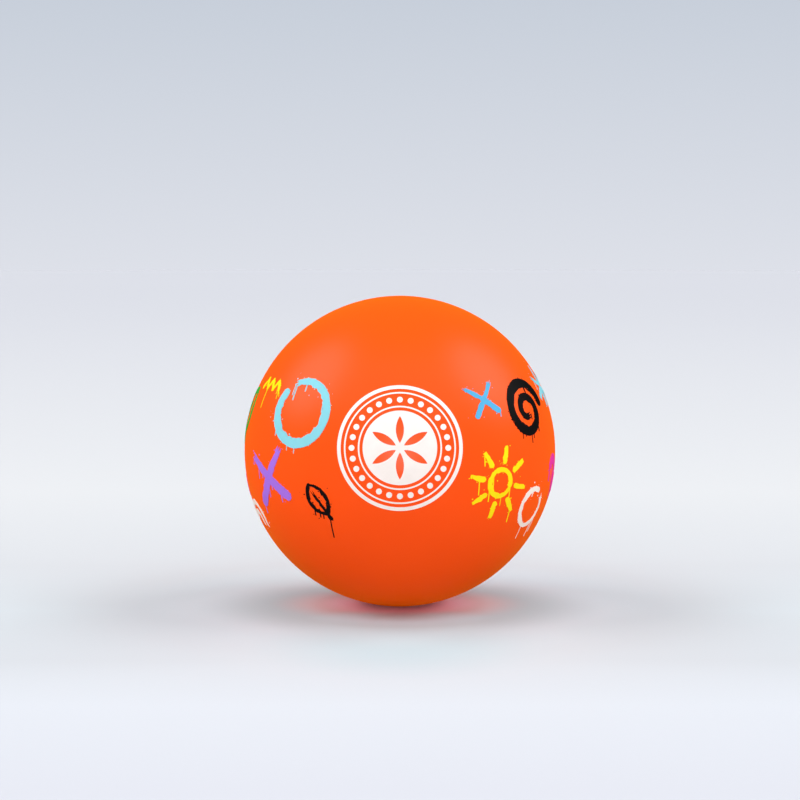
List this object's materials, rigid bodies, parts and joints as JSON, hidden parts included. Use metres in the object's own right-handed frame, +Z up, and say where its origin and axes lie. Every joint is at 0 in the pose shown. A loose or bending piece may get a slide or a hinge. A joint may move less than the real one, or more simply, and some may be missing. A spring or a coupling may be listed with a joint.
{
  "type": "field hockey ball",
  "caption": "Smooth orange field hockey ball: a quilted cork and twine core in a moulded cover of fused halves, with a printed emblem and brushed paint marks.",
  "frame": {"origin": "centre of the ball", "axes": "+Z up, square to the cover's seam, which lies in the XY plane; the front emblem faces -Y"},
  "size_m": [0.073, 0.0732, 0.073],
  "materials": {
    "cover": "satin moulded plasticised vinyl, pigmented orange",
    "cork": "cut natural cork",
    "twine": "tightly wound undyed twine",
    "emblem_ink": "matte pad-printed ink",
    "black_ink": "satin brushed paint",
    "white_ink": "satin brushed paint",
    "yellow_ink": "satin brushed paint",
    "sky_blue_ink": "satin brushed paint",
    "aqua_ink": "satin brushed paint",
    "violet_ink": "satin brushed paint",
    "green_ink": "satin brushed paint",
    "pink_ink": "satin brushed paint"
  },
  "bodies": {
    "root": {"cork_centre": "cork", "inner_winding": "twine", "middle_winding": "twine", "outer_winding": "twine", "inner_cork_strip_1": "cork", "inner_cork_strip_2": "cork", "inner_cork_strip_3": "cork", "inner_cork_strip_4": "cork", "outer_cork_strip_1": "cork", "outer_cork_strip_2": "cork", "outer_cork_strip_3": "cork", "outer_cork_strip_4": "cork", "outer_cork_strip_5": "cork", "outer_cork_strip_6": "cork", "upper_cover": "cover", "lower_cover": "cover", "front_emblem": "emblem_ink", "back_emblem": "emblem_ink", "black_marks": "black_ink", "white_marks": "white_ink", "yellow_marks": "yellow_ink", "sky_blue_marks": "sky_blue_ink", "aqua_marks": "aqua_ink", "violet_marks": "violet_ink", "green_marks": "green_ink", "pink_marks": "pink_ink"}
  },
  "joints": []
}
